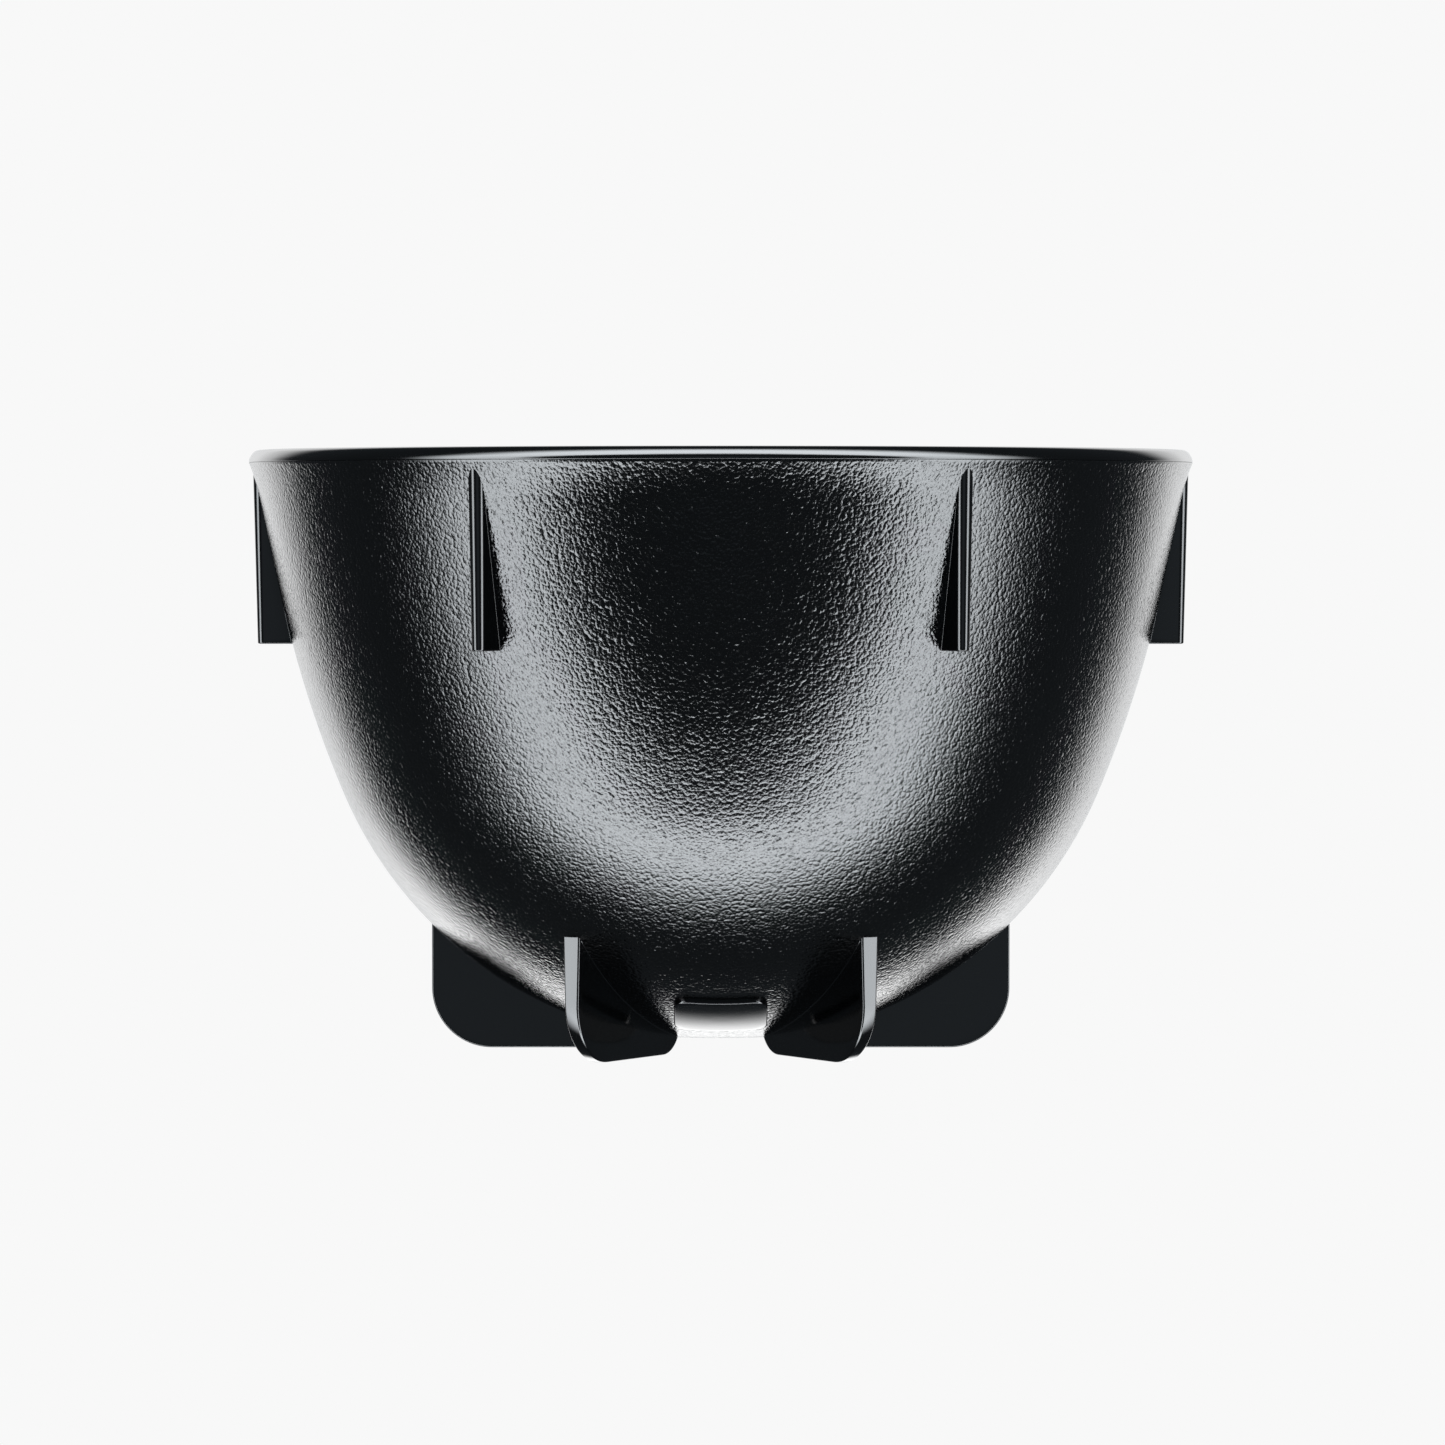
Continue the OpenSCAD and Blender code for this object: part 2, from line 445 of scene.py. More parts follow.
def leather_grain_group() -> bpy.types.NodeTree:
    """The fine leather-like grain that is etched in the mould.

    Returns:
        A group whose Height is the relief, 0 in the creases and 1 on the ridges, and whose Crease
        is 1 in the creases.
    """
    tree, s, given = new_group("leather_grain", "Shader", {
        "Place": ("Vector", None),
        "Cell": ("Float", 0.6 * MM),
        "Wander": ("Float", 0.9),
        "Crease Width": ("Float", 0.22),
        "Fine Share": ("Float", 0.3),
    }, {"Height": "Float", "Crease": "Float"})
    density = s.math("DIVIDE", 1.0, given["Cell"])
    spread = s.scaled(given["Place"], density)
    swirl = s.noise(spread, 0.8, 2.0)
    centred = s.add("ShaderNodeVectorMath", {0: swirl["Color"], 1: (NOISE_MIDDLE,) * 3},
                    operation="SUBTRACT")
    pushed = s.scaled(centred.outputs[0], given["Wander"])
    bent = s.add("ShaderNodeVectorMath", {0: spread, 1: pushed})
    pebbles = s.add("ShaderNodeTexVoronoi", {"Vector": bent.outputs[0], "Scale": 1.0,
                                             "Smoothness": 0.35}, feature="SMOOTH_F1")
    far = pebbles.outputs["Distance"]
    dome = s.math("SUBTRACT", 1.0, s.product(far, far))
    edges = s.add("ShaderNodeTexVoronoi", {"Vector": bent.outputs[0], "Scale": 1.0},
                  feature="DISTANCE_TO_EDGE")
    edge = s.math("DIVIDE", edges.outputs["Distance"], given["Crease Width"])
    crease = s.math("SUBTRACT", 1.0, s.step(edge, 0.0, 1.0))
    fine = s.noise(spread, 2.0, 1.0)
    height = s.blend(given["Fine Share"], dome, fine["Fac"])
    s.add("NodeGroupOutput", {"Height": height, "Crease": crease})
    return tree


def handling_group() -> bpy.types.NodeTree:
    """Faint traces of use: hairline rubs and a slow drift of the gloss.

    Returns:
        A group whose Rub is 1 along hairlines and whose Drift wanders between 0 and 1.
    """
    tree, s, given = new_group("handling_marks", "Shader", {
        "Place": ("Vector", None),
        "Rub Length": ("Float", 9 * MM),
        "Rub Width": ("Float", 0.22 * MM),
        "Rub Amount": ("Float", 0.35),
        "Drift Size": ("Float", 22 * MM),
    }, {"Rub": "Float", "Drift": "Float"})
    along = s.math("DIVIDE", 1.0, given["Rub Length"])
    across = s.math("DIVIDE", 1.0, given["Rub Width"])
    axes = s.add("ShaderNodeSeparateXYZ", {0: given["Place"]}).outputs
    hair = s.add("ShaderNodeCombineXYZ", {
        "X": s.product(axes["X"], along),
        "Y": s.product(axes["Y"], along),
        "Z": s.product(axes["Z"], across),
    }).outputs[0]
    streak = s.noise(hair, 1.0, 3.0)
    patch = s.noise(given["Place"], s.math("DIVIDE", 1.0, given["Drift Size"]), 2.0)
    lines = s.step(streak["Fac"], *HAIRLINES)
    worn = s.step(patch["Fac"], *WORN_PATCHES)
    rub = s.product(lines, worn, given["Rub Amount"])
    s.add("NodeGroupOutput", {"Rub": rub, "Drift": patch["Fac"]})
    return tree


def mould_flow_group() -> bpy.types.NodeTree:
    """The slight waviness and the drawing lines that a polished mould leaves on plastic.

    Returns:
        A group whose Height is the relief, between 0 and 1.
    """
    tree, s, given = new_group("mould_flow", "Shader", {
        "Place": ("Vector", None),
        "Wave": ("Float", 5 * MM),
        "Line Pitch": ("Float", 0.5 * MM),
        "Line Share": ("Float", 0.3),
    }, {"Height": "Float"})
    broad = s.noise(given["Place"], s.math("DIVIDE", 1.0, given["Wave"]), 1.0)
    axes = s.add("ShaderNodeSeparateXYZ", {0: given["Place"]}).outputs
    pitch = s.math("DIVIDE", 1.0, given["Line Pitch"])
    drawn = s.add("ShaderNodeCombineXYZ", {
        "X": s.product(axes["X"], pitch),
        "Y": s.product(axes["Y"], pitch),
        "Z": s.math("DIVIDE", axes["Z"], given["Wave"]),
    }).outputs[0]
    lines = s.noise(drawn, 1.0, 1.0)
    height = s.blend(given["Line Share"], broad["Fac"], lines["Fac"])
    s.add("NodeGroupOutput", {"Height": height})
    return tree


@dataclass
class Effects:
    """The shader groups that the finishes share, each built once."""

    grain: bpy.types.NodeTree = field(default_factory=leather_grain_group)
    handling: bpy.types.NodeTree = field(default_factory=handling_group)
    flow: bpy.types.NodeTree = field(default_factory=mould_flow_group)


# ---------------------------------------------------------------- finishes


def new_finish(name: str) -> tuple[bpy.types.Material, Sketch, Socket]:
    """A new material, the sketch of its tree and the place on the piece that it reads."""
    material = bpy.data.materials.new(name)
    material.use_nodes = True
    s = Sketch(material.node_tree)
    return material, s, s.add("ShaderNodeTexCoord").outputs["Object"]


@dataclass(frozen=True)
class GrainedPlastic:
    """Black plastic with a leather grain outside and a smooth satin inside.

    The piece's own grain attribute is 1 where the mould is etched and 0 where it is smooth.
    """

    name: str = "grained_black_plastic"
    ridge_colour: tuple[float, float, float] = (0.0135, 0.0165, 0.0195)
    # painted shade: the grain's creases are coloured darker than the ridges, standing in for the
    # shade that falls in them
    crease_painted_shade: tuple[float, float, float] = (0.005, 0.0062, 0.0074)
    ridge_roughness: float = 0.065
    crease_roughness: float = 0.14
    smooth_roughness: float = 0.16
    drift_roughness: float = 0.04
    rub_roughness: float = 0.1
    cell: float = 0.48 * MM
    relief: float = 0.074 * MM
    wave_relief: float = 0.004 * MM
    ior: float = 1.53

    def build(self, effects: Effects) -> bpy.types.Material:
        """Builds the material.

        Args:
            effects: the shared shader groups.

        Returns:
            The material.
        """
        material, s, place = new_finish(self.name)
        etched = s.add("ShaderNodeAttribute", attribute_name=GRAIN_ATTRIBUTE).outputs["Fac"]
        grain = s.group(effects.grain, {"Place": place, "Cell": self.cell})
        marks = s.group(effects.handling, {"Place": place})
        flow = s.group(effects.flow, {"Place": place})
        crease = s.product(grain["Crease"], etched)
        grained = s.blend(crease, self.ridge_roughness, self.crease_roughness)
        base = s.blend(etched, self.smooth_roughness, grained)
        drift = s.product(s.math("SUBTRACT", marks["Drift"], NOISE_MIDDLE), self.drift_roughness)
        rough = s.total(base, drift, s.product(marks["Rub"], self.rub_roughness))
        # painted shade in the grain's creases: the colour darkens from the ridge colour towards the
        # crease colour
        colour = s.tint(crease, self.ridge_colour, self.crease_painted_shade)
        relief = s.total(s.product(grain["Height"], etched, self.relief),
                         s.product(flow["Height"], self.wave_relief))
        s.plastic(colour, rough, relief, self.ior)
        return material


@dataclass(frozen=True)
class PolishedPlastic:
    """Black plastic from a polished part of the mould."""

    name: str = "polished_black_plastic"
    colour: tuple[float, float, float] = (0.0095, 0.0118, 0.0138)
    rubbed_colour: tuple[float, float, float] = (0.03, 0.032, 0.034)
    roughness: float = 0.09
    drift_roughness: float = 0.03
    rub_roughness: float = 0.15
    wave: float = 5 * MM
    relief: float = 0.006 * MM
    line_share: float = 0.1
    ior: float = 1.53

    def build(self, effects: Effects) -> bpy.types.Material:
        """Builds the material.

        Args:
            effects: the shared shader groups.

        Returns:
            The material.
        """
        material, s, place = new_finish(self.name)
        marks = s.group(effects.handling, {"Place": place})
        flow = s.group(effects.flow, {
            "Place": place, "Wave": self.wave, "Line Share": self.line_share})
        drift = s.product(s.math("SUBTRACT", marks["Drift"], NOISE_MIDDLE), self.drift_roughness)
        rough = s.total(drift, s.product(marks["Rub"], self.rub_roughness), self.roughness)
        colour = s.tint(marks["Rub"], self.colour, self.rubbed_colour)
        s.plastic(colour, rough, s.product(flow["Height"], self.relief), self.ior)
        return material


# ---------------------------------------------------------------- the bowl's form


@dataclass
class BowlForm:
    """The bowl's outer section: a round bottom, a side curve, a straight collar and a flare.

    Heights and radii come from the frame. The round bottom's centre is on the axis, and each
    stretch is tangent to the next.
    """

    collar_lean: float = 12.0
    side_r: float = 150 * MM
    knuckle_angle: float = 23.0
    lip_reach: float = 0.5 * MM
    flare_r: float = 32 * MM
    base_cut: float = 1.45 * MM
    bottom_steps: int = 44
    side_steps: int = 12
    collar_steps: int = 8
    flare_steps: int = 16
    rim_r: float = field(init=False)
    top_z: float = field(init=False)
    lip_z: float = field(init=False)
    base_z: float = field(init=False)
    floor_z: float = field(init=False)
    floor_r: float = field(init=False)
    wall: float = field(init=False)
    tan_lean: float = field(init=False)
    crown_r: float = field(init=False)
    crown_z: float = field(init=False)
    side_centre: Point = field(init=False)
    flare_centre: Point = field(init=False)
    flare_start: float = field(init=False)
    flare_end: float = field(init=False)

    def __post_init__(self) -> None:
        """Reads the bowl's sizes from the frame and works out the round bottom."""
        band_low, band_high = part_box("rim_band")
        disc_low, disc_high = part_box("base_disc")
        self.rim_r, self.top_z, self.lip_z = band_high.x, band_high.z, band_low.z
        self.base_z, self.floor_z, self.floor_r = disc_low.z, disc_high.z, disc_high.x
        self.wall = self.floor_z - self.base_z
        lean, knuckle = math.radians(self.collar_lean), math.radians(self.knuckle_angle)
        self.tan_lean = math.tan(lean)
        crown_low = self.base_z - self.base_cut
        rise = self.side_r * (math.sin(knuckle) - math.sin(lean))
        run = self.side_r * (math.cos(lean) - math.cos(knuckle))
        reach = self.rim_r - self.lip_reach - run - (self.lip_z - crown_low - rise) * self.tan_lean
        self.crown_r = reach / (math.cos(knuckle) - (1 - math.sin(knuckle)) * self.tan_lean)
        self.crown_z = crown_low + self.crown_r
        off = self.crown_r - self.side_r
        self.side_centre = (off * math.cos(knuckle), self.crown_z - off * math.sin(knuckle))
        self._place_flare(lean)

    def _place_flare(self, lean: float) -> None:
        """Works out the arc that carries the collar out to the lip's edge."""
        off = self.lip_reach * math.cos(lean)
        rise = math.sqrt(2 * self.flare_r * off - off**2)
        out, up = (math.cos(lean), -math.sin(lean)), (math.sin(lean), math.cos(lean))
        reach = self.flare_r - off
        self.flare_centre = (self.rim_r + reach * out[0] - rise * up[0],
                             self.lip_z + reach * out[1] - rise * up[1])
        self.flare_start = 180 - self.collar_lean
        self.flare_end = self.flare_start - math.degrees(math.asin(rise / self.flare_r))

    def collar_r(self, z: float, inset: float = 0.0) -> float:
        """Radius of the collar's surface at a height, moved inwards by inset."""
        drop = (self.lip_z - z) * self.tan_lean
        return self.rim_r - self.lip_reach - drop - inset / math.cos(math.radians(self.collar_lean))

    def body_points(self, inset: float, start_z: float, end_z: float) -> list[Point]:
        """The section from the round bottom to the collar, moved inwards by inset.

        Args:
            inset: distance inside the outer surface.
            start_z: height at which the round bottom begins.
            end_z: height at which the collar ends.

        Returns:
            The points, from the bottom up.
        """
        radius = self.crown_r - inset
        start = -math.degrees(math.asin((self.crown_z - start_z) / radius))
        bottom = arc((0.0, self.crown_z), radius, start, -self.knuckle_angle, self.bottom_steps)
        side = arc(self.side_centre, self.side_r - inset, -self.knuckle_angle, -self.collar_lean,
                   self.side_steps)
        end = (self.collar_r(end_z, inset), end_z)
        collar = line(side[-1], end, self.collar_steps)
        return bottom + side[1:] + collar[1:]

    def flare_points(self) -> list[Point]:
        """The flare, from the collar up to the lip's edge."""
        return arc(self.flare_centre, self.flare_r, self.flare_start, self.flare_end,
                   self.flare_steps)


@dataclass
class Outline:
    """A section's outline in radius and height, with the grain that each point carries."""

    points: list[Point] = field(default_factory=list)
    grain: list[float] = field(default_factory=list)

    def run(self, points: list[Point], texture: Texture) -> None:
        """Adds a stretch of points that share a texture."""
        self.points += points
        self.grain += [texture.value] * len(points)

    def mesh(self, name: str, loop: bool) -> bpy.types.Mesh:
        """The outline as a chain of edges in the XZ plane."""
        count = len(self.points)
        edges = [(i, i + 1) for i in range(count - 1)]
        if loop:
            edges.append((count - 1, 0))
        mesh = new_mesh(name, [(r, 0.0, z) for r, z in self.points], edges, [])
        layer = mesh.attributes.new(GRAIN_ATTRIBUTE, "FLOAT", "POINT")
        layer.data.foreach_set("value", self.grain)
        return mesh


@dataclass
class Turned:
    """What the wall, the rim band and the base disc share: one outline turned about the axis."""

    form: BowlForm
    tree: bpy.types.NodeTree
    stations: int = 384
    weld: float = 1e-6
    crease: float = 28.0

    def turn(self, name: str, node: str, slot: Slot, outline: Outline,
             finish: bpy.types.Material, loop: bool = True) -> None:
        """Turns an outline into a closed shell and settles it.

        Args:
            name: the piece's name.
            node: the CAD node that it stands for.
            slot: the record's slot.
            outline: the section.
            finish: the material.
            loop: True where the outline closes on itself, False where both ends are on the axis.
        """
        inputs = {"Stations": self.stations, "Loop": int(loop), "Weld": self.weld, "Finish": finish}
        piece = grow(name, outline.mesh(name + "_outline", loop), self.tree, inputs)
        close_up(piece.data, self.weld, self.crease)
        settle(piece, slot, node)


@dataclass
class BowlWall(Turned):
    """The grained wall and its smooth inside, up to the rim band."""

    grain_fade_steps: int = 16

    def outline(self) -> Outline:
        """The wall's section: up the outside, over to the inside and down again."""
        form = self.form
        flare = form.flare_points()
        outside = form.body_points(0.0, form.base_z, flare[0][1])
        inside = form.body_points(form.wall, form.floor_z, form.lip_z)
        drawn = Outline()
        drawn.run([(form.floor_r, form.base_z)], Texture.SMOOTH)
        drawn.run(outside, Texture.GRAINED)
        drawn.run(flare[1:self.grain_fade_steps], Texture.GRAINED)
        drawn.run(flare[self.grain_fade_steps:], Texture.SMOOTH)
        drawn.run(list(reversed(inside)), Texture.SMOOTH)
        return drawn

    def build(self, finish: bpy.types.Material) -> None:
        """Builds and settles the piece."""
        self.turn("bowl_wall_shell", "bowl_wall", Slot.GRAINED, self.outline(), finish)


@dataclass
class RimBand(Turned):
    """The polished band that closes the top edge."""

    inner_round: float = 0.35 * MM
    lower_round: float = 0.15 * MM
    crown_turns: tuple[tuple[float, float], ...] = ((22.0, 1.36), (40.0, 2.94), (90.0, 1.27))
    lower_steps: int = 6
    crown_steps: int = 10
    inner_steps: int = 8

    def _crown(self) -> list[Point]:
        """The outer edge, from its lower round up to the flat top.

        Its curve is tight, then slack, then tight again: each of crown_turns gives the angle at
        which a stretch ends and the share of the curve's radius that it has.
        """
        form = self.form
        reach = form.top_z - form.lip_z - self.lower_round
        starts = (0.0,) + tuple(end for end, _ in self.crown_turns[:-1])
        rise = sum(share * (math.sin(math.radians(end)) - math.sin(math.radians(start)))
                   for start, (end, share) in zip(starts, self.crown_turns))
        low = (form.rim_r - self.lower_round, form.lip_z + self.lower_round)
        points = arc(low, self.lower_round, -90.0, 0.0, self.lower_steps)
        for start, (end, share) in zip(starts, self.crown_turns):
            radius = reach * share / rise
            turn = math.radians(start)
            last = points[-1]
            centre = (last[0] - radius * math.cos(turn), last[1] - radius * math.sin(turn))
            points += arc(centre, radius, start, end, self.crown_steps)[1:]
        return points

    def outline(self) -> Outline:
        """The band's section, from its lower outer edge over the top to the inside."""
        form = self.form
        inner = form.collar_r(form.top_z - self.inner_round, form.wall)
        inner_centre = (inner + self.inner_round, form.top_z - self.inner_round)
        inner_arc = arc(inner_centre, self.inner_round, 90.0, 180.0, self.inner_steps)
        foot = (form.collar_r(form.lip_z, form.wall), form.lip_z)
        drawn = Outline()
        drawn.run(self._crown() + inner_arc + [foot], Texture.SMOOTH)
        return drawn

    def build(self, finish: bpy.types.Material) -> None:
        """Builds and settles the piece."""
        self.turn("rim_band_ring", "rim_band", Slot.POLISHED, self.outline(), finish)


@dataclass
class BaseDisc(Turned):
    """The flat floor, with the dimple and the stub that the moulding gate leaves below."""

    dimple_r: float = 3.5 * MM
    dimple_depth: float = 0.5 * MM
    stub_r: float = 1.0 * MM
    stub_drop: float = 0.3 * MM
    edge: float = 0.15 * MM
    edge_steps: int = 4

    def outline(self) -> Outline:
        """The disc's section, from the axis on top round to the axis below."""
        form = self.form
        roof = form.base_z + self.dimple_depth
        tip = roof - self.stub_drop
        mouth = (self.dimple_r + self.edge, form.base_z + self.edge)
        corner = (self.dimple_r - self.edge, roof - self.edge)
        point = (self.stub_r - self.edge, tip + self.edge)
        points = [(0.0, form.floor_z), (form.floor_r / 2, form.floor_z)]
        points += [(form.floor_r, form.floor_z), (form.floor_r, form.base_z)]
        points += arc(mouth, self.edge, 270.0, 180.0, self.edge_steps)
        points += arc(corner, self.edge, 0.0, 90.0, self.edge_steps)
        points.append((self.stub_r + self.edge, roof))
        points += arc(point, self.edge, 0.0, -90.0, self.edge_steps)
        points.append((0.0, tip))
        drawn = Outline()
        drawn.run(points, Texture.SMOOTH)
        return drawn

    def build(self, finish: bpy.types.Material) -> None:
        """Builds and settles the piece."""
        self.turn("base_disc_floor", "base_disc", Slot.POLISHED, self.outline(), finish, False)


# ---------------------------------------------------------------- fins


@dataclass
class Fin:
    """What the ribs and the feet share: a tapered plate that grows out of the wall."""

    form: BowlForm
    tree: bpy.types.NodeTree
    count: int = 6
    root: float = 1.0 * MM
    weld: float = 1e-7
    crease: float = 40.0

    def repeat(self, name: str, node: str, rows: list[list[Vector]],
               finish: bpy.types.Material) -> None:
        """Builds, places and settles the fin at every station.

        Args:
            name: the pieces' name, before their number.
            node: the CAD nodes' name, before their number.
            rows: the fin's cross-sections along +X.
            finish: the material.
        """
        for i in range(self.count):
            inputs = {"Number": i, "Count": self.count, "Finish": finish}
            piece = grow(f"{name}_{i + 1}", loft(f"{name}_loft_{i + 1}", rows), self.tree, inputs)
            close_up(piece.data, self.weld, self.crease)
            settle(piece, Slot.POLISHED, f"{node}_{i + 1}")


@dataclass
class StackingRibs(Fin):
    """The upright ribs below the rim, whose flat soles rest on the rim of the bowl beneath."""

    face_top_inset: float = 0.4 * MM
    face_sole_inset: float = 1.05 * MM
    t_top: float = 2.4 * MM
    t_sole: float = 1.8 * MM
    sole_edge: float = 0.2 * MM
    fillet: float = 0.1 * MM
    tip_gap: float = 0.4 * MM
    root_share: float = 0.7
    stations: int = 40
    sole_corner: float = 1.4
    sole_steps: int = 4
    fillet_steps: int = 5
    nose_steps: int = 12
    sole_z: float = field(init=False)

    def _loop(self, z: float, inset: float) -> list[Vector]:
        """The rib's cross-section at a height.

        Args:
            z: the height.
            inset: how far the section's free sides are moved in, for the sole's rounding.

        Returns:
            A closed loop from the root on one side to the root on the other.
        """
        share = (z - self.sole_z) / (self.form.lip_z - self.sole_z)
        half = (self.t_sole + (self.t_top - self.t_sole) * share) / 2 - inset
        gained = (self.face_sole_inset - self.face_top_inset) * share
        face = self.form.rim_r - self.face_sole_inset + gained - inset
        skin = math.sqrt(self.form.collar_r(z) ** 2 - (half + self.fillet) ** 2)
        room = max(0.0, min(self.fillet, face - half - skin))
        start = min(skin, face - half)
        deepest = max(start - self.root, skin - self.form.wall * self.root_share)
        side = [(deepest, half + room)]
        for sine, cosine in quarter(self.fillet_steps):
            side.append((start + room * (1 - cosine), half + room * (1 - sine)))
        for sine, cosine in quarter(self.nose_steps):
            side.append((face - half + half * sine, half * cosine))
        far = [(x, -y) for x, y in reversed(side[:-1])]
        return [Vector((x, y, z)) for x, y in side + far]

    def build(self, finish: bpy.types.Material) -> None:
        """Builds and settles every rib."""
        self.sole_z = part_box("stacking_rib_1")[0].z
        tip_z = self.form.lip_z - self.tip_gap
        rows = [self._loop(self.sole_z, self.sole_edge * self.sole_corner)]
        for sine, cosine in quarter(self.sole_steps):
            height = self.sole_z + self.sole_edge * (1 - cosine)
            rows.append(self._loop(height, self.sole_edge * (1 - sine)))
        low = self.sole_z + self.sole_edge
        for i in range(1, self.stations + 1):
            rows.append(self._loop(low + (tip_z - low) * i / self.stations, 0.0))
        self.repeat("stacking_rib_fin", "stacking_rib", rows, finish)


def rounded(centre: Point, radius: float, start: float, sweep: float,
            steps: int) -> list[tuple[Point, Point]]:
    """An arc's points, each with the unit normal that points to the arc's centre.

    Args:
        centre: the arc's centre.
        radius: the arc's radius.
        start: the first angle, in degrees.
        sweep: how far the arc turns, in degrees.
        steps: the number of chords.

    Returns:
        steps + 1 pairs of a point and its normal.
    """
    pairs = []
    for i in range(steps + 1):
        turn = math.radians(start + sweep * i / steps)
        x, z = math.cos(turn), math.sin(turn)
        pairs.append(((centre[0] + radius * x, centre[1] + radius * z), (-x, -z)))
    return pairs


@dataclass
class Feet(Fin):
    """The radial fins under the round bottom."""

    corner_r: float = 8.3 * MM
    inner_r: float = 12.6 * MM
    inner_round: float = 4.3 * MM
    t_top: float = 2.6 * MM
    t_sole: float = 1.7 * MM
    edge_r: float = 0.25 * MM
    fillet: float = 0.12 * MM
    inner_sweep: float = 80.0
    outer_steps: int = 10
    corner_steps: int = 24
    sole_steps: int = 12
    edge_steps: int = 8
    fillet_steps: int = 6
    outer_r: float = field(init=False)
    outer_top_z: float = field(init=False)

    def _edge_line(self) -> list[tuple[Point, Point]]:
        """The free edge in side view, from the outer top to the inner end.

        Returns:
            For each point its place and the unit normal that points into the foot.
        """
        corner = (self.outer_r - self.corner_r, self.corner_r)
        inner = (self.inner_r + self.inner_round, self.inner_round)
        drop = self.form.crown_r**2 - self.outer_r**2
        top_z = self.form.crown_z - math.sqrt(drop) + self.root
        outer = line((0.0, top_z), corner, self.outer_steps)
        steps = [((self.outer_r, z), (-1.0, 0.0)) for _, z in outer[:-1]]
        steps += rounded(corner, self.corner_r, 0.0, -90.0, self.corner_steps)
        for x, _ in line((corner[0], 0.0), (inner[0], 0.0), self.sole_steps)[1:-1]:
            steps.append(((x, 0.0), (0.0, 1.0)))
        steps += rounded(inner, self.inner_round, -90.0, -self.inner_sweep, self.sole_steps)
        return steps

    def _half(self, z: float) -> float:
        """Half the foot's thickness at a height."""
        share = z / (self.outer_top_z + self.root)
        return (self.t_sole + (self.t_top - self.t_sole) * share) / 2

    def _loop(self, place: Point, normal: Point, anchor: Point) -> list[Vector]:
        """The foot's cross-section from one point of its free edge to the wall.

        Args:
            place: the point on the free edge.
            normal: the direction into the foot.
            anchor: the point inside the wall that the section runs to.

        Returns:
            A closed loop round the section.
        """
        side = []
        for sine, cosine in quarter(self.edge_steps):
            depth = self.edge_r * (1 - cosine)
            x, z = place[0] + normal[0] * depth, place[1] + normal[1] * depth
            side.append((x, self._half(z) - self.edge_r * (1 - sine), z))
        start = (place[0] + normal[0] * self.edge_r, place[1] + normal[1] * self.edge_r)
        far_off = math.hypot(start[0], start[1] - self.form.crown_z) - self.form.crown_r
        reach = far_off + self.root
        count = self.fillet_steps
        gaps = [far_off * (1 - i / count) for i in range(1, count - 1)]
        gaps += [self.fillet * (1 - sine) for sine, _ in quarter(count)]
        gaps.append(-self.root)
        for gap in gaps:
            share = min(1.0, max(0.0, (far_off - gap) / reach)) if reach > 0 else 1.0
            x = start[0] + (anchor[0] - start[0]) * share
            z = start[1] + (anchor[1] - start[1]) * share
            y = self._half(z)
            off = math.sqrt(x * x + y * y + (z - self.form.crown_z) ** 2) - self.form.crown_r
            near = self.fillet - min(self.fillet, max(0.0, off))
            side.append((x, y + self.fillet - math.sqrt(self.fillet**2 - near**2), z))
        other = [(x, -y, z) for x, y, z in reversed(side)]
        return [Vector(p) for p in other + side]

    def build(self, finish: bpy.types.Material) -> None:
        """Builds and settles every foot."""
        self.outer_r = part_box("foot_1")[1].x
        self.outer_top_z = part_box("foot_1")[1].z
        edge = self._edge_line()
        sunk = self.form.crown_r - self.root
        first = math.asin(self.outer_r / sunk)
        last = math.asin(edge[-1][0][0] / sunk)
        lengths = [0.0]
        for (a, _), (b, _) in zip(edge, edge[1:]):
            lengths.append(lengths[-1] + math.dist(a, b))
        rows = []
        for (place, normal), run in zip(edge, lengths):
            turn = first + (last - first) * run / lengths[-1]
            anchor = (sunk * math.sin(turn), self.form.crown_z - sunk * math.cos(turn))
            rows.append(self._loop(place, normal, anchor))
        self.repeat("foot_fin", "foot", rows, finish)


# ---------------------------------------------------------------- the raised mark


